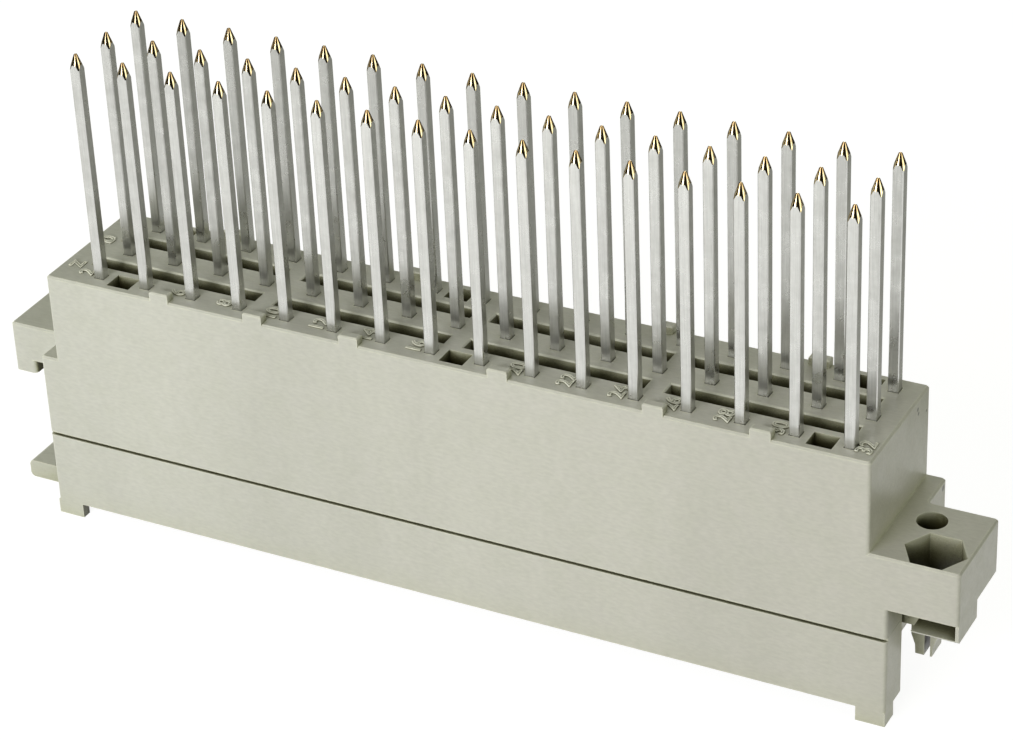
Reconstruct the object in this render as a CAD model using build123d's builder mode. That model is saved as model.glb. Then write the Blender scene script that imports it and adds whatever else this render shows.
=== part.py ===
# Female board connector with three rows of long square wire posts.
# A rear moulding carries the posts and the mounting flanges, a mating moulding
# below it guides the plug, and each contact runs through both of them.
# Millimetres. X runs along the connector, Y across the rows, Z up to the post tips,
# and the feet stand on Z = 0.
import math
import os

from build123d import *

# Contact grid, rows named from the front to the back
columns = 16
row_names = ("z", "b", "d")
pitch = 5.08
grid_shift = 1.27
places_per_column = 2

# Heights
foot_height = 1.5
seam_height = 9.07
seam_gap = 0.33
flange_bottom = 12.56
flange_top = 17.92
rear_top = 27.12

# Plan of both mouldings
body_width = 14.12
end_margin = 2.53
shoulder_ledge = 1.79
mating_set_back = 1.2
corner_rib_overlap = 1.21
corner_rib_depth = 4.01
corner_radius = 0.35
edge_break = 0.18

# Flanges
flange_end_margin = 5.2
flange_depth = 9.76
flange_root_overlap = 3.0
hole_margin = 1.31
hole_radius = 1.4
hole_depth = 8.0

# Hexagonal pocket in each flange, and the lip and window under it
hex_sides = 6
hex_across_flats = 5.0
hex_inset_x = 3.2
hex_inset_y = 2.71
hex_depth = 4.72
lip_height = 1.91
lip_length = 4.37
lip_depth = 4.6
lip_set_back = 0.12
lip_side_wall = 0.3
lip_floor = 0.3
lip_edge_chamfer = 0.27
lip_back_wall = 0.9

# Cored underside of each flange, the boss in it and the split peg
core_length = 4.11
core_height = 1.44
core_radius = 0.5
boss_radius = 2.5
boss_drop = 4.24
boss_web_gap = 0.2
peg_depth = 2.4
peg_neck_width = 2.4
peg_neck_length = 1.9
peg_taper = 1.05
peg_prong_width = 1.66
peg_tip_width = 1.56
peg_length = 3.92
peg_slot_width = 0.55
peg_slot_offset = 0.32
peg_slot_depth = 3.0

# Openings in the rear face
slot_length = 18.0
slot_width = 1.6
slot_pitch = 20.0
slots_per_line = 4
slot_depth = 13.0
slot_edge_break = 0.12
pocket_length = 2.4
pocket_width = 2.1
pocket_depth = 6.0
pocket_inset = 1.81
front_pocket_columns = (0.5, 7.5, 14.5)
back_pocket_columns = (0.5, 6.5, 14.5)

# Lugs standing on the long edges of the rear face
lug_length = 2.0
lug_depth = 0.95
lug_height = 0.8
lug_edge_break = 0.12
front_lug_columns = (1.5, 3.5, 5.5, 8.5, 11.5, 13.5)
back_lug_columns = (1.5, 5.5, 10.5, 13.5)

# Contacts
post_width = 1.0
post_rise = 23.23
post_edge_break = 0.08
point_sides = 8
point_angle = 19
point_length = 2.0
point_end_radius = 0.14
point_end_break = 0.06
shoulder_width = 2.7
shoulder_height = 1.1
spring_top_gap = 1.1
spring_waist_gap = 0.75
spring_mouth_gap = 1.44
spring_thickness = 0.36
spring_waist_height = 3.9
spring_tip_height = 2.6

# Clearances
post_clearance = 0.04
shoulder_clearance = 0.05
joint_clearance = 0.03

# Mating moulding
spigot_inset = 0.4
cell_length = 2.1
face_thickness = 0.8
mouth_length = 1.1
mouth_width = 1.6
lead_in = 0.2
lead_in_angle = 45
end_chamfer = 0.45
foot_length = 2.8
foot_depth = 2.06
short_foot_depth = 1.0
back_foot_columns = (0.5, 14.5)
tongue_width = 5.2
tongue_height = 1.9
tongue_overlap = 0.3
tongue_radius = 0.5

# Sizes that follow from the ones above
rows = len(row_names)
half_width = body_width / 2
field_half_length = pitch * (columns - 1) / 2 + grid_shift
body_half_length = field_half_length + end_margin
shoulder_half_length = body_half_length + shoulder_ledge
mating_half_length = body_half_length - mating_set_back
half_spacing = shoulder_half_length + hole_margin
flange_half_length = half_spacing + flange_end_margin
flange_back = flange_depth - half_width
rib_back = corner_rib_depth - half_width
corner_rib_length = shoulder_half_length - mating_half_length + corner_rib_overlap
rib_x = shoulder_half_length - corner_rib_length / 2
rib_y = -half_width + corner_rib_depth / 2
rear_bottom = seam_height + seam_gap
spigot_top = rear_bottom - joint_clearance
shoulder_top = spigot_top - joint_clearance
shoulder_bottom = shoulder_top - shoulder_height
cell_floor = foot_height + face_thickness
cell_width = shoulder_width + 2 * shoulder_clearance
post_tip = rear_top + post_rise
point_base = post_tip - point_length
point_base_radius = point_end_radius + point_length * math.tan(math.radians(point_angle))
core_end = shoulder_half_length + core_length
core_roof = flange_bottom + core_height
boss_bottom = flange_bottom - boss_drop
web_x = mating_half_length + boss_web_gap
lip_bottom = flange_bottom - lip_height
lip_front = -half_width + lip_set_back
window_back = lip_front + lip_depth - lip_back_wall


def column_x(column):
    """Place along X of a column of contacts, counted from 0; halves lie between two columns."""
    return grid_shift + pitch * (column - (columns - 1) / 2)


def row_y(row):
    """Place along Y of a row of contacts, counted from 0 at the front."""
    return pitch * (row - (rows - 1) / 2)


# One end of the rear moulding: the shoulder, the flange and all that hangs under it
with BuildPart() as flange_end:
    root_x = shoulder_half_length - flange_root_overlap
    with BuildSketch(Plane.XY.offset(flange_bottom)) as end_plan:
        with Locations((root_x, -half_width)):
            Rectangle(flange_root_overlap, body_width, align=(Align.MIN, Align.MIN))
            Rectangle(flange_half_length - root_x, flange_depth, align=(Align.MIN, Align.MIN))
        fillet(end_plan.vertices().filter_by_position(Axis.X, root_x + corner_radius, flange_half_length),
               corner_radius)
    extrude(amount=flange_top - flange_bottom)
    chamfer(flange_end.faces().sort_by(Axis.Z)[-1].outer_wire().edges(), edge_break)

    # Core that thins the flange from below, open at its back edge with one rounded corner
    with BuildSketch(Plane.XY.offset(flange_bottom)):
        with BuildLine():
            core_side = Line((core_end, rib_back), (core_end, flange_back - core_radius))
            mouth_corner = JernArc(core_side @ 1, (0, 1), core_radius, -90)
            Polyline(mouth_corner @ 1,
                     (core_end + core_radius, flange_depth),
                     (shoulder_half_length, flange_depth),
                     (shoulder_half_length, rib_back),
                     (core_end, rib_back))
        make_face()
    extrude(amount=core_height, mode=Mode.SUBTRACT)

    # Lip below the hexagonal pocket
    with BuildSketch(Plane.XY.offset(lip_bottom)):
        with Locations((flange_half_length, lip_front)):
            Rectangle(lip_length, lip_depth, align=(Align.MAX, Align.MIN))
    extrude(amount=lip_height)
    chamfer(flange_end.faces().sort_by(Axis.Z)[0].edges().sort_by(Axis.Y)[0], lip_edge_chamfer)

    # Boss around the mounting hole, joined to the end of the body
    with BuildSketch(Plane.XY.offset(boss_bottom)):
        with Locations((half_spacing, 0)):
            Circle(boss_radius)
            Rectangle(half_spacing - web_x, 2 * boss_radius, align=(Align.MAX, Align.CENTER))
    extrude(amount=core_roof - boss_bottom)

    # Hexagonal pocket, running on into the hollow lip, which is open at the front and the inner side
    with BuildSketch(Plane.XY.offset(flange_top)) as hexagon:
        with Locations((flange_half_length - hex_inset_x, -half_width + hex_inset_y)):
            RegularPolygon(hex_across_flats / 2, hex_sides, major_radius=False)
    extrude(amount=-hex_depth, mode=Mode.SUBTRACT)
    with BuildSketch(Plane.XY.offset(flange_bottom)) as window:
        with Locations((flange_half_length - lip_side_wall, -body_width)):
            Rectangle(lip_length - lip_side_wall, body_width + window_back,
                      align=(Align.MAX, Align.MIN))
    extrude(amount=lip_floor - lip_height, mode=Mode.SUBTRACT)
    with BuildSketch(Plane.XY.offset(flange_bottom)):
        add(hexagon.sketch_local)
        add(window.sketch_local, mode=Mode.INTERSECT)
    extrude(amount=flange_top - hex_depth - flange_bottom, mode=Mode.SUBTRACT)

    # Split peg under the mounting hole: a neck that narrows to two prongs of unlike width
    peg_neck_bottom = boss_bottom - peg_neck_length
    peg_bottom = boss_bottom - peg_length
    peg_widths = (
        (peg_neck_width, boss_bottom),
        (peg_neck_width, peg_neck_bottom),
        (peg_prong_width, peg_neck_bottom - peg_taper),
        (peg_tip_width, peg_bottom),
    )
    outer_side = [(half_spacing + width / 2, height) for width, height in peg_widths]
    inner_side = [(half_spacing - width / 2, height) for width, height in reversed(peg_widths)]
    with BuildSketch(Plane.XZ):
        with BuildLine():
            Polyline(*outer_side, *inner_side, close=True)
        make_face()
    extrude(amount=peg_depth / 2, both=True)
    with BuildSketch(Plane.XY.offset(peg_bottom)):
        with Locations((half_spacing + peg_slot_offset, 0)):
            Rectangle(peg_slot_width, 2 * peg_depth)
    extrude(amount=peg_slot_depth, mode=Mode.SUBTRACT)

    with Locations((half_spacing, 0, flange_top)):
        Hole(hole_radius, depth=hole_depth)

# Rear moulding: a long block with one end as above and the other turned half a turn
with BuildPart() as rear_housing:
    with BuildSketch(Plane.XY.offset(rear_bottom)):
        RectangleRounded(2 * body_half_length, body_width, corner_radius)
    extrude(amount=rear_top - rear_bottom)
    chamfer(rear_housing.faces().sort_by(Axis.Z)[-1].outer_wire().edges(), edge_break)
    with PolarLocations(0, 2):
        add(flange_end.part)

    # Ribs that carry the shoulder down the two front corners
    with BuildSketch(Plane.XY.offset(rear_bottom)):
        with Locations((-rib_x, rib_y), (rib_x, rib_y)):
            RectangleRounded(corner_rib_length, corner_rib_depth, corner_radius)
    extrude(amount=core_roof - rear_bottom)

    # Long slots between the rows of posts
    with BuildSketch(Plane.XY.offset(rear_top)):
        with GridLocations(slot_pitch, pitch, slots_per_line, rows - 1):
            Rectangle(slot_length, slot_width)
    extrude(amount=-slot_depth, mode=Mode.SUBTRACT)
    chamfer(rear_housing.faces().sort_by(Axis.Z)[-1].inner_wires().edges(), slot_edge_break)

    # Square pockets near both long edges
    pocket_y = half_width - pocket_inset
    with BuildSketch(Plane.XY.offset(rear_top)):
        with Locations([(column_x(column), -pocket_y) for column in front_pocket_columns]):
            Rectangle(pocket_length, pocket_width)
        with Locations([(column_x(column), pocket_y) for column in back_pocket_columns]):
            Rectangle(pocket_length, pocket_width)
    extrude(amount=-pocket_depth, mode=Mode.SUBTRACT)

    # Lugs along both long edges
    lug_y = half_width - lug_depth / 2
    with BuildSketch(Plane.XY.offset(rear_top - edge_break)):
        with Locations([(column_x(column), -lug_y) for column in front_lug_columns]):
            Rectangle(lug_length, lug_depth)
        with Locations([(column_x(column), lug_y) for column in back_lug_columns]):
            Rectangle(lug_length, lug_depth)
    extrude(amount=lug_height + edge_break)
    chamfer(rear_housing.faces().filter_by(Axis.Z).group_by(Axis.Z)[-1].edges(), lug_edge_break)

    # Square channels that hold the posts
    with BuildSketch(Plane.XY.offset(rear_top)):
        with Locations((grid_shift, 0)):
            with GridLocations(pitch, pitch, columns, rows):
                Rectangle(post_width + 2 * post_clearance, post_width + 2 * post_clearance)
    extrude(amount=rear_bottom - rear_top, mode=Mode.SUBTRACT)

# Mating moulding: a cell for each contact, open upwards, with a mouth in the lower face
with BuildPart() as mating_housing:
    with BuildSketch(Plane.XY.offset(foot_height)) as outline:
        Rectangle(2 * mating_half_length, body_width)
        with Locations((-rib_x, rib_y), (rib_x, rib_y)):
            Rectangle(corner_rib_length, corner_rib_depth)
        rib_corners = outline.vertices().filter_by(
            lambda corner: abs(corner.X) > mating_half_length + corner_radius
        )
        fillet(rib_corners, corner_radius)
    extrude(amount=seam_height - foot_height)
    lower_edges = mating_housing.faces().sort_by(Axis.Z)[0].edges()
    end_edges = lower_edges.filter_by(Axis.Y).filter_by(
        lambda edge: abs(edge.center().X) < mating_half_length + corner_radius
    )
    chamfer(end_edges, end_chamfer)
    chamfer(mating_housing.faces().sort_by(Axis.Z)[0].edges().sort_by(Axis.Y)[-1], end_chamfer)
    with BuildSketch(Plane.XY.offset(seam_height)):
        add(outline.sketch_local)
        Rectangle(2 * flange_half_length, body_width - 2 * spigot_inset, mode=Mode.INTERSECT)
    extrude(amount=spigot_top - seam_height)

    with BuildSketch(Plane.XY.offset(spigot_top)):
        with Locations((grid_shift, 0)):
            with GridLocations(pitch, pitch, columns, rows):
                Rectangle(cell_length, cell_width)
    extrude(amount=cell_floor - spigot_top, mode=Mode.SUBTRACT)
    with BuildSketch(Plane.XY.offset(foot_height)):
        with Locations((grid_shift, 0)):
            with GridLocations(pitch, pitch, columns, rows):
                Rectangle(mouth_length, mouth_width)
    extrude(amount=face_thickness, mode=Mode.SUBTRACT)
    with BuildSketch(Plane.XY.offset(foot_height)):
        with Locations((grid_shift, 0)):
            with GridLocations(pitch, pitch, columns, rows):
                Rectangle(mouth_length + 2 * lead_in, mouth_width + 2 * lead_in)
    extrude(amount=lead_in, taper=lead_in_angle, mode=Mode.SUBTRACT)

    # Feet: one on each front corner rib, two between the end columns at the back
    foot_x = shoulder_half_length - foot_length
    with BuildSketch(Plane.XY):
        with Locations((foot_x, -half_width)):
            Rectangle(foot_length, foot_depth, align=(Align.MIN, Align.MIN))
        with Locations((-foot_x, -half_width)):
            Rectangle(foot_length, short_foot_depth, align=(Align.MAX, Align.MIN))
        with Locations([(column_x(column), half_width - end_chamfer) for column in back_foot_columns]):
            Rectangle(foot_length, foot_depth, align=(Align.CENTER, Align.MAX))
    extrude(amount=foot_height)

    # Tongue that stands out at the left end, level with the feet
    with BuildSketch(Plane.XZ) as tongue_side:
        with Locations((-flange_half_length, 0)):
            Rectangle(flange_half_length - mating_half_length + tongue_overlap, tongue_height,
                      align=(Align.MIN, Align.MIN))
        fillet(tongue_side.vertices().group_by(Axis.X)[0], tongue_radius)
    extrude(amount=tongue_width / 2, both=True)

# Contact: a square post with an eight-sided point above a shoulder and two spring arms
with BuildPart() as contact:
    with BuildSketch(Plane.XY.offset(point_base)):
        RegularPolygon(point_base_radius, point_sides, major_radius=False, rotation=180 / point_sides)
    extrude(amount=point_length, taper=point_angle)
    chamfer(contact.faces().sort_by(Axis.Z)[-1].edges(), point_end_break)
    with BuildSketch(Plane.XY.offset(point_base)) as post_section:
        Rectangle(post_width, post_width)
        chamfer(post_section.vertices(), post_edge_break)
    extrude(amount=point_length, mode=Mode.INTERSECT)
    extrude(post_section.sketch, amount=shoulder_top - point_base)
    with BuildSketch(Plane.XY.offset(shoulder_bottom)):
        Rectangle(post_width, shoulder_width)
    extrude(amount=shoulder_height)
    with BuildSketch(Plane.YZ):
        with BuildLine():
            inner = Polyline((spring_top_gap / 2, shoulder_bottom),
                             (spring_waist_gap / 2, spring_waist_height),
                             (spring_mouth_gap / 2, spring_tip_height))
            outer = Polyline((spring_mouth_gap / 2 + spring_thickness, spring_tip_height),
                             (spring_waist_gap / 2 + spring_thickness, spring_waist_height),
                             (spring_top_gap / 2 + spring_thickness, shoulder_bottom))
            Line(inner @ 1, outer @ 0)
            Line(outer @ 1, inner @ 0)
        make_face()
        mirror(about=Plane.YZ)
    extrude(amount=post_width / 2, both=True)

os.makedirs("parts", exist_ok=True)

rear_housing.part.label = "rear_housing"
export_step(rear_housing.part, "parts/rear_housing.step")

mating_housing.part.label = "mating_housing"
export_step(mating_housing.part, "parts/mating_housing.step")

for row in range(rows):
    for column in range(columns):
        place = places_per_column * (column + 1)
        with BuildPart() as placed_contact:
            with Locations((column_x(column), row_y(row), 0)):
                add(contact.part)
        placed_contact.part.label = f"contact_{row_names[row]}_{place:02d}"
        export_step(placed_contact.part, f"parts/{placed_contact.part.label}.step")
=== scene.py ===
"""A female board connector with three rows of wire-wrap posts, on a pale studio floor."""

import math

import bpy
from mathutils import Matrix, Vector


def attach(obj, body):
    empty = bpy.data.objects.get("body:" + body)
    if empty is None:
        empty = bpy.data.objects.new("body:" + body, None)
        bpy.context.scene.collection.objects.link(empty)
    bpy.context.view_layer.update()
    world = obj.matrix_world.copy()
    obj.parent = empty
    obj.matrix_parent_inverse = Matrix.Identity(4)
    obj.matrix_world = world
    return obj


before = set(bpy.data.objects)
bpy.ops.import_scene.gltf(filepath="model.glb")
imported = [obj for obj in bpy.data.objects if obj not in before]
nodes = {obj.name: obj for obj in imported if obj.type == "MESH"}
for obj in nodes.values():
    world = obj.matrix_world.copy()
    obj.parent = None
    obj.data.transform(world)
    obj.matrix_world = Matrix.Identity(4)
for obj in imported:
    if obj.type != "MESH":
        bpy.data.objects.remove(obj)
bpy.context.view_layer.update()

# Rear moulding
# One glass filled polyester moulding, pebble grey with a green cast and a fine satin skin.
# It comes out of the tool with faint flow marks. Its edges carry a painted highlight, and its
# recesses and deep places painted shade.

MM = 0.001
PLASTIC_LIT = (0.550, 0.550, 0.488)
PLASTIC_WARM = (0.540, 0.526, 0.466)
PLASTIC_DEEP = (0.490, 0.497, 0.412)
PLASTIC_PAINTED_EDGE_HIGHLIGHT = (0.700, 0.700, 0.570)
PLASTIC_PAINTED_RECESS_SHADE = (0.490, 0.500, 0.290)
PLASTIC_PAINTED_DEEP_SHADE = (0.046, 0.041, 0.014)
PLASTIC_MARK_HIGHLIGHT = (0.780, 0.775, 0.700)
PLASTIC_SCUFF = (0.170, 0.168, 0.140)
WARM_ALONG_X = (-45.0 * MM, 45.0 * MM)
NOISE_SPAN = (0.30, 0.70)
BLOTCH_SIZE = 2.2 * MM
BLOTCH_LEVELS = (0.0, 0.35)
FLOW_LENGTH = 14.0 * MM
FLOW_STRETCH = (1.0, 1.0, 0.22)
FLOW_SPAN = (0.35, 0.65)
FLOW_LEVELS = (0.96, 1.04)
FIBRE_GRAIN = 0.26 * MM
FIBRE_STRETCH = (0.35, 1.0, 1.0)
FIBRE_LEVELS = (0.95, 1.05)
CAVITY_REACH = 8.0 * MM
CAVITY_SAMPLES = 8
DEEP_PAINTED_SHADE_SPAN = (0.23, 0.48)
RECESS_PAINTED_SHADE_SPAN = (0.30, 0.62)
EDGE_RADIUS = 0.24 * MM
EDGE_SAMPLES = 4
EDGE_SPAN = (0.92, 0.998)
EDGE_HIGHLIGHT_PATCH_SIZE = 1.3 * MM
EDGE_HIGHLIGHT_PATCH_SPAN = (0.35, 0.60)
EDGE_HIGHLIGHT_PATCH_LEVELS = (0.35, 0.90)
GLOSS_SIZE = 0.9 * MM
GLOSS_LEVELS = (0.30, 0.42)
SKIN_SIZE = 0.16 * MM
SKIN_DEPTH = 0.006 * MM
SKIN_STRENGTH = 0.6
SCUFF_FADE = (0.7, 1.3)
SCUFFS = [((41.9 * MM, 4.10 * MM, 26.20 * MM), 0.20 * MM),
          ((41.9 * MM, 4.30 * MM, 25.70 * MM), 0.18 * MM),
          ((41.9 * MM, 6.30 * MM, 24.90 * MM), 0.14 * MM),
          ((43.69 * MM, 6.25 * MM, 17.30 * MM), 0.30 * MM)]


def feed(tree, node, feeds):
    """Feeds a node's inputs, each from another node's output or from plain values."""
    for label, value in feeds.items():
        socket = node.inputs[label]
        if isinstance(value, bpy.types.NodeSocket):
            tree.links.new(value, socket)
        elif socket.type == "RGBA":
            socket.default_value = (*value, 1.0)
        else:
            socket.default_value = value


def add(tree, kind, feeds, give=0, **settings):
    """Adds a node with its settings and inputs, and returns the output asked for."""
    node = tree.nodes.new(kind)
    for label, value in settings.items():
        setattr(node, label, value)
    feed(tree, node, feeds)
    return node.outputs[give]


def object_place(tree, stretch=(1.0, 1.0, 1.0)):
    """Object coordinates times stretch."""
    place = add(tree, "ShaderNodeTexCoord", {}, "Object")
    return add(tree, "ShaderNodeMapping", {"Vector": place, "Scale": stretch})


def noise(tree, place, size, detail, roughness=0.5):
    """Noise whose lumps are about size metres across."""
    feeds = {"Vector": place, "Scale": 1.0 / size, "Detail": detail, "Roughness": roughness}
    return add(tree, "ShaderNodeTexNoise", feeds)


def remap(tree, value, span, levels=(0.0, 1.0)):
    """A value brought from one range to another and held inside it."""
    feeds = {"Value": value, "From Min": span[0], "From Max": span[1],
             "To Min": levels[0], "To Max": levels[1]}
    return add(tree, "ShaderNodeMapRange", feeds)


def maths(tree, operation, *values):
    """One sum of outputs and numbers."""
    return add(tree, "ShaderNodeMath", dict(enumerate(values)), operation=operation)


def vectors(tree, operation, *values):
    """One sum of vectors, each an output or three numbers."""
    gives = "Value" if operation in ("DISTANCE", "DOT_PRODUCT") else "Vector"
    return add(tree, "ShaderNodeVectorMath", dict(enumerate(values)), gives, operation=operation)


def parts_of(tree, vector):
    """The X, Y and Z of a vector."""
    node = tree.nodes.new("ShaderNodeSeparateXYZ")
    feed(tree, node, {"Vector": vector})
    return node.outputs


def mix(tree, kind, factor, first, second, blend="MIX"):
    """Two colours (RGBA), vectors (VECTOR) or numbers (VALUE) mixed by a factor."""
    node = tree.nodes.new("ShaderNodeMix")
    node.data_type = "FLOAT" if kind == "VALUE" else kind
    node.blend_type = blend
    sides = [index for index, socket in enumerate(node.inputs)
             if socket.type == kind and socket.name in ("A", "B")]
    feed(tree, node, {"Factor": factor, sides[0]: first, sides[1]: second})
    return next(socket for socket in node.outputs if socket.type == kind)


def tint(tree, factor, first, second, blend="MIX"):
    """Two colours mixed by a factor; each is an output or three numbers."""
    return mix(tree, "RGBA", factor, first, second, blend)


def bump(tree, height, depth, strength):
    """A bump of depth metres from a height between 0 and 1."""
    feeds = {"Height": height, "Distance": depth, "Strength": strength}
    return add(tree, "ShaderNodeBump", feeds)


def open_air(tree, reach, samples):
    """1 where nothing lies within reach metres of a point, less where surfaces close it in."""
    return add(tree, "ShaderNodeAmbientOcclusion", {"Distance": reach}, "AO", samples=samples)


def edges(tree, radius):
    """1 along the piece's edges, 0 on its flats."""
    rounded = add(tree, "ShaderNodeBevel", {"Radius": radius}, samples=EDGE_SAMPLES)
    flat = add(tree, "ShaderNodeNewGeometry", {}, "True Normal")
    return remap(tree, vectors(tree, "DOT_PRODUCT", rounded, flat), EDGE_SPAN, (1.0, 0.0))


def near(tree, place, centre, radius):
    """1 within about radius metres of a point, falling to 0 just outside it."""
    fade = (SCUFF_FADE[0] * radius, SCUFF_FADE[1] * radius)
    return remap(tree, vectors(tree, "DISTANCE", place, centre), fade, (1.0, 0.0))


def new_material(name):
    """A node material with its tree and its Principled shader."""
    material = bpy.data.materials.new(name)
    material.use_nodes = True
    tree = material.node_tree
    return material, tree, tree.nodes["Principled BSDF"]


def moulded_plastic(name, seed=0.0, highlight_share=0.0, scuffs=()):
    """Satin filled plastic with tone changes, grain and flow marks, painted shade in recesses and
    painted highlights.
    """
    material, tree, shader = new_material(name)
    even = object_place(tree)
    place = vectors(tree, "ADD", even, (seed, seed, seed))

    right_end = remap(tree, parts_of(tree, even)["X"], WARM_ALONG_X)
    base = tint(tree, right_end, PLASTIC_LIT, PLASTIC_WARM)
    blotch = remap(tree, noise(tree, place, BLOTCH_SIZE, detail=3.0), NOISE_SPAN, BLOTCH_LEVELS)
    base = tint(tree, blotch, base, PLASTIC_DEEP)
    flow = noise(tree, object_place(tree, FLOW_STRETCH), FLOW_LENGTH, detail=4.0, roughness=0.6)
    fibre = noise(tree, object_place(tree, FIBRE_STRETCH), FIBRE_GRAIN, detail=2.0)
    level = maths(tree, "MULTIPLY", remap(tree, flow, FLOW_SPAN, FLOW_LEVELS),
                  remap(tree, fibre, NOISE_SPAN, FIBRE_LEVELS))
    base = tint(tree, 1.0, base, level, "MULTIPLY")
    # Painted highlight: the whole surface can be lightened towards a pale tone.
    if highlight_share:
        base = tint(tree, highlight_share, base, PLASTIC_MARK_HIGHLIGHT)
    for centre, radius in scuffs:
        base = tint(tree, near(tree, even, centre, radius), base, PLASTIC_SCUFF)

    # Painted shade: olive in recesses and near black where the moulding is shut in, by how closed in
    # each point is.
    air = open_air(tree, CAVITY_REACH, CAVITY_SAMPLES)
    free_of_painted_shade = remap(tree, air, DEEP_PAINTED_SHADE_SPAN)
    base = tint(tree, remap(tree, air, RECESS_PAINTED_SHADE_SPAN), PLASTIC_PAINTED_RECESS_SHADE, base)
    base = tint(tree, free_of_painted_shade, PLASTIC_PAINTED_DEEP_SHADE, base)
    # Painted highlight: the edges are lightened in patches, except where painted shade lies.
    patchy = remap(tree, noise(tree, place, EDGE_HIGHLIGHT_PATCH_SIZE, detail=2.0), EDGE_HIGHLIGHT_PATCH_SPAN, EDGE_HIGHLIGHT_PATCH_LEVELS)
    edge_highlight = maths(tree, "MULTIPLY", edges(tree, EDGE_RADIUS), patchy)
    base = tint(tree, maths(tree, "MULTIPLY", edge_highlight, free_of_painted_shade), base, PLASTIC_PAINTED_EDGE_HIGHLIGHT)

    gloss = remap(tree, noise(tree, place, GLOSS_SIZE, detail=3.0), NOISE_SPAN, GLOSS_LEVELS)
    skin = noise(tree, place, SKIN_SIZE, detail=3.0, roughness=0.6)
    feed(tree, shader, {"Base Color": base, "Specular IOR Level": 0.5, "Roughness": gloss,
                        "Normal": bump(tree, skin, SKIN_DEPTH, SKIN_STRENGTH)})
    return material


def finish_node(name, material):
    """Gives a carried-over CAD node its finish."""
    mesh = nodes[name].data
    mesh.materials.clear()
    mesh.materials.append(material)


finish_node("rear_housing", moulded_plastic("housing_plastic", scuffs=SCUFFS))

# Raised numbers on the rear moulding
# The tool has place numbers and row letters cut into it, so they stand proud of the top face.
# They count the columns in twos beside the front row and read from the right-hand end.
# Each is sunk a little into the face, and its upper rim is rounded by a bead.

TOP_FACE = 27.12 * MM
NUMBER_BED = TOP_FACE - 0.03 * MM
NUMBER_RISE = 0.18 * MM
NUMBER_HEIGHT = 1.45 * MM
NUMBER_BEAD = 0.085 * MM
BEAD_SIDES = 8
CAPITAL_SHARE = 0.70
WELD = 0.001 * MM
COLUMN_PITCH = 5.08 * MM
FIRST_COLUMN = -36.83 * MM
COLUMNS = 16
WITHOUT_NUMBER = (1, 8, 15)
NUMBER_BEFORE_POST = 1.62 * MM
NUMBER_LINE = -4.9 * MM
LAST_NUMBER_X = 40.75 * MM
LETTER_X = -40.5 * MM
LETTER_HEIGHT = 2.0 * MM
LETTERS = {"z": -3.9 * MM, "b": 1.4 * MM, "d": 5.6 * MM}
MARK_HIGHLIGHT_SHARE = 0.8


def new_group(name, inputs):
    """An empty Geometry Nodes group, what its inputs give, and the node that its result goes to."""
    tree = bpy.data.node_groups.new(name, "GeometryNodeTree")
    for label, kind, value in inputs:
        socket = tree.interface.new_socket(label, in_out="INPUT", socket_type=f"NodeSocket{kind}")
        if value is not None:
            socket.default_value = value
    tree.interface.new_socket("Geometry", in_out="OUTPUT", socket_type="NodeSocketGeometry")
    return tree, tree.nodes.new("NodeGroupInput").outputs, tree.nodes.new("NodeGroupOutput")


def joined(tree, *parts):
    """Several geometries as one."""
    node = tree.nodes.new("GeometryNodeJoinGeometry")
    for part in parts:
        feed(tree, node, {"Geometry": part})
    return node.outputs["Geometry"]


def coated(tree, geometry, material):
    """A geometry made plain, with its material set."""
    plain = add(tree, "GeometryNodeRealizeInstances", {"Geometry": geometry})
    return add(tree, "GeometryNodeSetMaterial", {"Geometry": plain, "Material": material})


def mark_group():
    """Geometry Nodes that turn a word into a raised mark with a rounded rim, read from above."""
    tree, given, result = new_group("raised_mark", [
        ("Word", "String", None), ("Height", "Float", NUMBER_HEIGHT), ("Rise", "Float", NUMBER_RISE),
        ("Bead", "Float", NUMBER_BEAD), ("Place", "Vector", None), ("Material", "Material", None)])
    size = maths(tree, "DIVIDE", given["Height"], CAPITAL_SHARE)
    letters = add(tree, "GeometryNodeStringToCurves", {"String": given["Word"], "Size": size},
                  align_x="CENTER", align_y="MIDDLE")
    outline = add(tree, "GeometryNodeRealizeInstances", {"Geometry": letters})

    shoulder = maths(tree, "SUBTRACT", given["Rise"], given["Bead"])
    cap = add(tree, "GeometryNodeFillCurve", {"Curve": outline})
    body = add(tree, "GeometryNodeExtrudeMesh",
               {"Mesh": cap, "Offset Scale": shoulder, "Individual": False})
    underside = add(tree, "GeometryNodeFlipFaces", {"Mesh": cap})
    closed = add(tree, "GeometryNodeMergeByDistance",
                 {"Geometry": joined(tree, body, underside), "Distance": WELD})

    ring = add(tree, "GeometryNodeCurvePrimitiveCircle",
               {"Resolution": BEAD_SIDES, "Radius": given["Bead"]})
    level = add(tree, "ShaderNodeCombineXYZ", {"Z": shoulder})
    lifted = add(tree, "GeometryNodeSetPosition", {"Geometry": outline, "Offset": level})
    rim = add(tree, "GeometryNodeCurveToMesh", {"Curve": lifted, "Profile Curve": ring})

    placed = add(tree, "GeometryNodeTransform",
                 {"Geometry": joined(tree, closed, rim), "Translation": given["Place"],
                  "Rotation": (0.0, 0.0, math.radians(90))})
    feed(tree, result, {"Geometry": coated(tree, placed, given["Material"])})
    return tree


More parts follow.
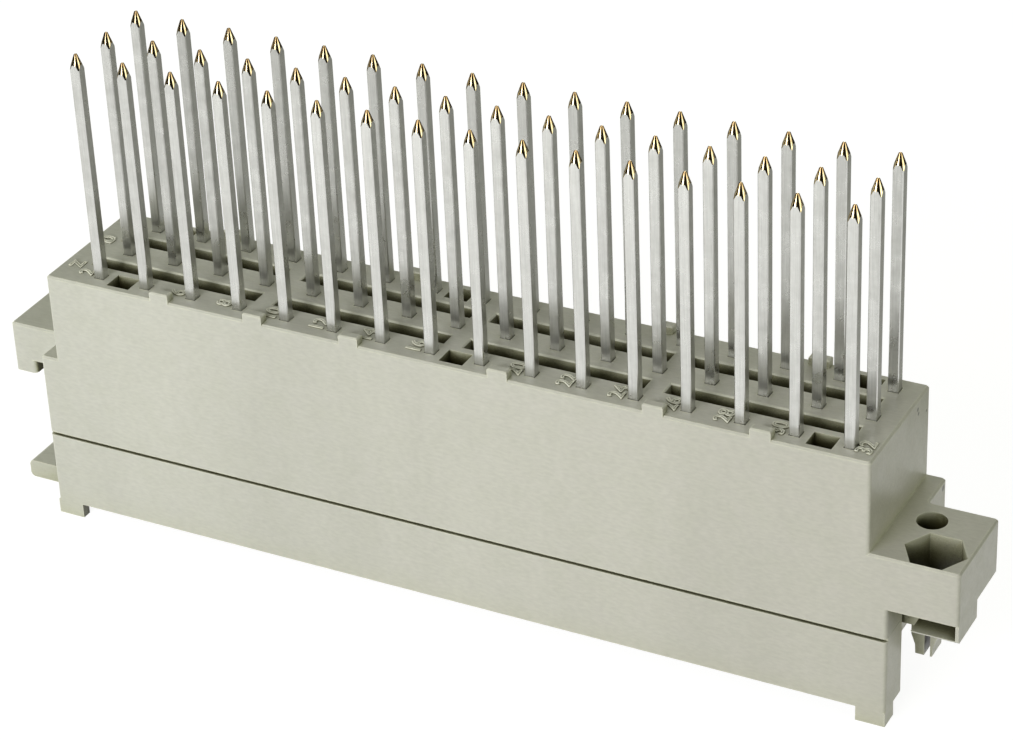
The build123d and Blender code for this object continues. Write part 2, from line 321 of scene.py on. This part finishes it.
def numbers_group(mark):
    """Geometry Nodes that stand one number on each point of a mesh, read from its attribute."""
    tree, given, result = new_group("place_numbers", [
        ("Geometry", "Geometry", None), ("Material", "Material", None)])
    points = given["Geometry"]
    first = tree.nodes.new("GeometryNodeRepeatInput")
    last = tree.nodes.new("GeometryNodeRepeatOutput")
    first.pair_with_output(last)
    count = add(tree, "GeometryNodeAttributeDomainSize", {"Geometry": points}, "Point Count")
    feed(tree, first, {"Iterations": count})
    turn = first.outputs["Iteration"]

    number = add(tree, "GeometryNodeInputNamedAttribute", {"Name": "place_number"}, "Attribute",
                 data_type="INT")
    picked = add(tree, "GeometryNodeSampleIndex",
                 {"Geometry": points, "Value": number, "Index": turn}, "Value", data_type="INT")
    word = add(tree, "FunctionNodeValueToString", {"Value": picked}, data_type="INT")
    where = add(tree, "GeometryNodeInputPosition", {})
    spot = add(tree, "GeometryNodeSampleIndex",
               {"Geometry": points, "Value": where, "Index": turn}, "Value", data_type="FLOAT_VECTOR")
    made = add(tree, "GeometryNodeGroup",
               {"Word": word, "Place": spot, "Material": given["Material"]}, node_tree=mark)
    feed(tree, last, {"Geometry": joined(tree, first.outputs["Geometry"], made)})
    all_marks = last.outputs["Geometry"]
    feed(tree, result, {"Geometry": coated(tree, all_marks, given["Material"])})
    return tree


def marks_on(name, points, numbers, tree, settings):
    """A plain mesh that a Geometry Nodes group makes from points; it rides on the body."""
    seeds = bpy.data.meshes.new(name)
    seeds.from_pydata(points, [], [])
    if numbers:
        seeds.attributes.new("place_number", "INT", "POINT").data.foreach_set("value", numbers)
    piece = bpy.data.objects.new(name, seeds)
    bpy.context.scene.collection.objects.link(piece)
    modifier = piece.modifiers.new("marks", "NODES")
    modifier.node_group = tree
    for item in tree.interface.items_tree:
        if item.in_out == "INPUT" and item.name in settings:
            modifier[item.identifier] = settings[item.name]
    bpy.context.view_layer.update()
    made = bpy.data.meshes.new_from_object(piece.evaluated_get(bpy.context.evaluated_depsgraph_get()))
    piece.modifiers.clear()
    piece.data = made
    bpy.data.meshes.remove(seeds)
    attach(piece, "root")


# The raised marks' plastic is lightened throughout, a painted highlight.
number_plastic = moulded_plastic("number_plastic", highlight_share=MARK_HIGHLIGHT_SHARE)
raised_mark = mark_group()
numbered = [column for column in range(COLUMNS) if column not in WITHOUT_NUMBER]
number_points = [(FIRST_COLUMN + COLUMN_PITCH * column - NUMBER_BEFORE_POST, NUMBER_LINE, NUMBER_BED)
                 for column in numbered] + [(LAST_NUMBER_X, NUMBER_LINE, NUMBER_BED)]
place_numbers = [2 * (column + 1) for column in numbered] + [2 * COLUMNS]
marks_on("place_numbers", number_points, place_numbers, numbers_group(raised_mark),
         {"Material": number_plastic})
for letter, letter_y in LETTERS.items():
    marks_on(f"row_letter_{letter}", [(0.0, 0.0, 0.0)], None, raised_mark,
             {"Word": letter, "Height": LETTER_HEIGHT, "Place": (LETTER_X, letter_y, NUMBER_BED),
              "Material": number_plastic})

# Mating moulding
# A second moulding of the same plastic that closes the rear one from below.
# It is another shot, so its blotches and flow marks don't line up with the rear one's.

MATING_SEED = 0.37

finish_node("mating_housing", moulded_plastic("mating_plastic", seed=MATING_SEED))

# Contacts
# Each is stamped from drawn copper alloy and tin plated, with drawing lines along the post.
# The point is coined after plating, so it shows the bare golden alloy, rounded like a cone.

TIN = (0.640, 0.642, 0.612)
TIN_DULL = (0.490, 0.492, 0.462)
TIN_PAINTED_CORNER_HIGHLIGHT = (0.760, 0.760, 0.735)
TIN_PAINTED_SHADE = (0.180, 0.180, 0.155)
TIN_GLOSS = (0.24, 0.36)
ALLOY = (0.640, 0.540, 0.340)
ALLOY_DARKENED = (0.300, 0.190, 0.080)
ALLOY_GLOSS = 0.09
LINE_SIZE = 0.12 * MM
LINE_STRETCH = (1.0, 1.0, 0.03)
LINE_LEVELS = (0.88, 1.06)
LINE_DEPTH = 0.004 * MM
LINE_STRENGTH = 0.7
CLOUD_SIZE = 1.6 * MM
CLOUD_SPAN = (0.35, 0.70)
CLOUD_LEVELS = (0.0, 0.70)
CORNER_SPAN = (0.40, 0.60)
CORNER_LEVELS = (0.0, 0.40)
METAL_REACH = 1.6 * MM
METAL_PAINTED_SHADE_SPAN = (0.15, 0.65)
POINT_SPAN = (48.2 * MM, 48.4 * MM)
POINT_TURN_SPAN = (0.15, 0.25)
POINT_SLOPE = math.radians(19)
TARNISH_SIZE = 0.5 * MM
TARNISH_SPAN = (0.40, 0.70)
TARNISH_LEVELS = (0.0, 0.60)
CROWN_SPAN = (49.7 * MM, 50.2 * MM)
CROWN_LEVELS = (0.0, 0.85)


def cone_normal(tree, place):
    """The outward direction of a round point on each post's own axis."""
    where = parts_of(tree, place)
    outward = {}
    for axis, first in (("X", FIRST_COLUMN), ("Y", 0.0)):
        along = maths(tree, "SUBTRACT", where[axis], first)
        outward[axis] = maths(tree, "WRAP", along, COLUMN_PITCH / 2, -COLUMN_PITCH / 2)
    level = vectors(tree, "NORMALIZE", add(tree, "ShaderNodeCombineXYZ", outward))
    raised = vectors(tree, "ADD", level, (0.0, 0.0, math.tan(POINT_SLOPE)))
    return vectors(tree, "NORMALIZE", raised)


def plated_wire(name):
    """Tin plate over a copper alloy that shows bare on the coined point."""
    material, tree, shader = new_material(name)
    even = object_place(tree)
    lines = noise(tree, object_place(tree, LINE_STRETCH), LINE_SIZE, detail=3.0, roughness=0.6)
    cloud = noise(tree, even, CLOUD_SIZE, detail=4.0, roughness=0.6)
    facing = parts_of(tree, add(tree, "ShaderNodeNewGeometry", {}, "True Normal"))
    height = parts_of(tree, even)["Z"]

    tin = tint(tree, remap(tree, cloud, CLOUD_SPAN, CLOUD_LEVELS), TIN, TIN_DULL)
    tin = tint(tree, 1.0, tin, remap(tree, lines, NOISE_SPAN, LINE_LEVELS), "MULTIPLY")
    # Painted highlight: the post's corner facets, which face diagonally, are lightened.
    diagonal = maths(tree, "MINIMUM", maths(tree, "ABSOLUTE", facing["X"]),
                     maths(tree, "ABSOLUTE", facing["Y"]))
    tin = tint(tree, remap(tree, diagonal, CORNER_SPAN, CORNER_LEVELS), tin, TIN_PAINTED_CORNER_HIGHLIGHT)
    # Painted shade: the tin darkens where the post is closed in, most towards its foot.
    air = open_air(tree, METAL_REACH, CAVITY_SAMPLES)
    tin = tint(tree, remap(tree, air, METAL_PAINTED_SHADE_SPAN), TIN_PAINTED_SHADE, tin)

    tarnish = noise(tree, even, TARNISH_SIZE, detail=3.0)
    alloy = tint(tree, remap(tree, tarnish, TARNISH_SPAN, TARNISH_LEVELS), ALLOY, ALLOY_DARKENED)
    # The very top of each point is darker still.
    alloy = tint(tree, remap(tree, height, CROWN_SPAN, CROWN_LEVELS), alloy, ALLOY_DARKENED)

    bare = maths(tree, "MULTIPLY", remap(tree, facing["Z"], POINT_TURN_SPAN),
                 remap(tree, height, POINT_SPAN))
    gloss = remap(tree, cloud, NOISE_SPAN, TIN_GLOSS)
    drawn = bump(tree, lines, LINE_DEPTH, LINE_STRENGTH)
    feed(tree, shader, {"Base Color": tint(tree, bare, tin, alloy), "Metallic": 1.0,
                        "Roughness": mix(tree, "VALUE", bare, gloss, ALLOY_GLOSS),
                        "Normal": mix(tree, "VECTOR", bare, drawn, cone_normal(tree, even))})
    return material


contact_metal = plated_wire("contact_metal")
for name in nodes:
    if name.startswith("contact_"):
        finish_node(name, contact_metal)

# Floor and studio
# A plain white sweep. What the camera and the metal see of it is white, and the shadow stays.
# Five soft boxes light the part, the smallest close to its front left corner.
# Only gloss sees the cards: black and grey sheets that give the metal its dark streaks.

FLOOR_REACH = 6.0
FLOOR_LIT = (0.55, 0.55, 0.55)
FLOOR_SEEN = (0.26, 0.26, 0.26)
FLOOR_GLOW = 0.905
CARD_BLACK = (0.030, 0.028, 0.024)
CARD_GREY = (0.370, 0.375, 0.340)
SKY_FILL = (0.97, 1.00, 0.80)
SKY_FILL_STRENGTH = 0.205
SKY_SEEN = (0.80, 0.80, 0.80)
MATT = 0.9
CARD_AIM = (0.0, 0.0, 30.0 * MM)
WHITE = (1.0, 1.0, 1.0)
GREEN_CAST = (0.975, 1.000, 0.830)


def background_ray(tree):
    """1 for rays from the camera, from gloss and through glass, else 0."""
    path = tree.nodes.new("ShaderNodeLightPath").outputs
    either = maths(tree, "MAXIMUM", path["Is Camera Ray"], path["Is Glossy Ray"])
    return maths(tree, "MAXIMUM", either, path["Is Transmission Ray"])


def sheet(name, corners, material):
    """A flat four-cornered sheet that belongs to the studio."""
    mesh = bpy.data.meshes.new(name)
    mesh.from_pydata(corners, [], [(0, 1, 2, 3)])
    mesh.materials.append(material)
    piece = bpy.data.objects.new(name, mesh)
    bpy.context.scene.collection.objects.link(piece)
    return piece


def square(half_width, half_height):
    """The corners of a rectangle that lies flat around the origin."""
    return [(-half_width, -half_height, 0.0), (half_width, -half_height, 0.0),
            (half_width, half_height, 0.0), (-half_width, half_height, 0.0)]


def card(name, centre, width, height, material, upright=True):
    """A sheet that only gloss sees: upright and facing the part, or else flat and facing up."""
    facing = Vector(CARD_AIM) - Vector(centre) if upright else Vector((0.0, 0.0, 1.0))
    turn = facing.normalized().to_track_quat("Z", "Y").to_matrix().to_4x4()
    place = Matrix.Translation(centre) @ turn
    corners = [place @ Vector(corner) for corner in square(width / 2, height / 2)]
    piece = sheet(name, corners, material)
    piece.visible_camera = False
    piece.visible_diffuse = False
    piece.visible_shadow = False


def soft_box(name, centre, aim, width, height, power, colour):
    """A rectangular lamp at centre that shines at aim."""
    lamp = bpy.data.lights.new(name, "AREA")
    lamp.color = colour
    lamp.shape = "RECTANGLE"
    lamp.size = width
    lamp.size_y = height
    lamp.energy = power
    piece = bpy.data.objects.new(name, lamp)
    piece.location = centre
    piece.rotation_euler = (Vector(aim) - Vector(centre)).to_track_quat("-Z", "Y").to_euler()
    bpy.context.scene.collection.objects.link(piece)


floor_paper, paper_tree, paper_shader = new_material("floor_paper")
feed(paper_tree, paper_shader, {"Base Color": FLOOR_LIT, "Roughness": MATT,
                                "Specular IOR Level": 0.0})
seen_paper = add(paper_tree, "ShaderNodeBsdfDiffuse", {"Color": FLOOR_SEEN})
seen_glow = add(paper_tree, "ShaderNodeEmission", {"Strength": FLOOR_GLOW})
seen = add(paper_tree, "ShaderNodeAddShader", {0: seen_paper, 1: seen_glow})
paper = add(paper_tree, "ShaderNodeMixShader",
            {"Fac": background_ray(paper_tree), 1: paper_shader.outputs["BSDF"], 2: seen})
feed(paper_tree, paper_tree.nodes["Material Output"], {"Surface": paper})
sheet("floor", square(FLOOR_REACH, FLOOR_REACH), floor_paper)

black_card, black_tree, black_shader = new_material("black_card")
feed(black_tree, black_shader, {"Base Color": CARD_BLACK, "Roughness": MATT,
                                "Specular IOR Level": 0.0})
# The grey sheet glows dimly. In the metal it is a painted reflection of the floor behind the part,
# lying in the part's shadow.
grey_card, grey_tree, grey_shader = new_material("grey_card")
feed(grey_tree, grey_shader, {"Base Color": (0.0, 0.0, 0.0), "Specular IOR Level": 0.0,
                              "Emission Color": CARD_GREY, "Emission Strength": 1.0})
card("card_right", (0.252, -0.373, 0.100), 0.55, 0.26, black_card)
card("card_left", (-0.448, -0.190, 0.100), 0.76, 0.26, black_card)
card("card_far", (0.318, 0.318, 0.070), 0.52, 0.13, black_card)
card("card_above", (-0.250, 0.460, 0.360), 0.60, 0.34, black_card)
card("card_low_left", (-0.310, -0.050, 0.002), 0.30, 0.36, black_card, upright=False)
card("card_low_behind", (0.100, 0.300, 0.002), 0.55, 0.28, black_card, upright=False)
card("card_behind", (0.100, 0.100, 0.002), 0.55, 0.12, grey_card, upright=False)

world = bpy.data.worlds.new("studio")
bpy.context.scene.world = world
world.use_nodes = True
sky = world.node_tree
fill = sky.nodes["Background"]
feed(sky, fill, {"Color": SKY_FILL, "Strength": SKY_FILL_STRENGTH})
sky_seen = add(sky, "ShaderNodeBackground", {"Color": SKY_SEEN, "Strength": 1.0})
sky_mix = add(sky, "ShaderNodeMixShader",
              {"Fac": background_ray(sky), 1: fill.outputs["Background"], 2: sky_seen})
feed(sky, sky.nodes["World Output"], {"Surface": sky_mix})

soft_box("key_box", (-0.052, -0.175, 0.052), (-0.01, 0.0, 0.02), 0.06, 0.06, 0.122, WHITE)
soft_box("front_box", (-0.030, -0.560, 0.280), (0.0, 0.0, 0.02), 0.26, 0.22, 1.58, WHITE)
soft_box("side_box", (0.560, -0.050, 0.100), (0.0, 0.0, 0.03), 0.30, 0.18, 0.43, GREEN_CAST)
soft_box("left_box", (-0.520, 0.020, 0.140), (0.0, 0.0, 0.03), 0.26, 0.16, 0.75, GREEN_CAST)
soft_box("rear_box", (-0.080, 0.560, 0.110), (0.0, 0.0, 0.02), 0.30, 0.18, 0.90, GREEN_CAST)

# Camera
# Solved from the 48 post tips of the photograph: a long lens, from the front right and above.
# The three directions are those of the photograph's right side, its foot and its depth.

CAMERA_PLACE = (126.558 * MM, -226.678 * MM, 175.459 * MM)
CAMERA_RIGHT = (0.889252, 0.455656, -0.040102)
CAMERA_DOWN = (0.200940, -0.467895, -0.860638)
CAMERA_FORWARD = (-0.410918, 0.757266, -0.507636)
SENSOR_MM = 36.0
LENS_MM = 116.337
CLIP = (0.01, 30.0)

camera_data = bpy.data.cameras.new("camera")
camera_data.sensor_width = SENSOR_MM
camera_data.lens = LENS_MM
camera_data.clip_start, camera_data.clip_end = CLIP
camera = bpy.data.objects.new("camera", camera_data)
axes = Matrix((CAMERA_RIGHT, [-c for c in CAMERA_DOWN], [-c for c in CAMERA_FORWARD])).transposed()
camera.matrix_world = Matrix.Translation(CAMERA_PLACE) @ axes.to_4x4()
bpy.context.scene.collection.objects.link(camera)
bpy.context.scene.camera = camera
bpy.context.scene.view_settings.view_transform = "Standard"
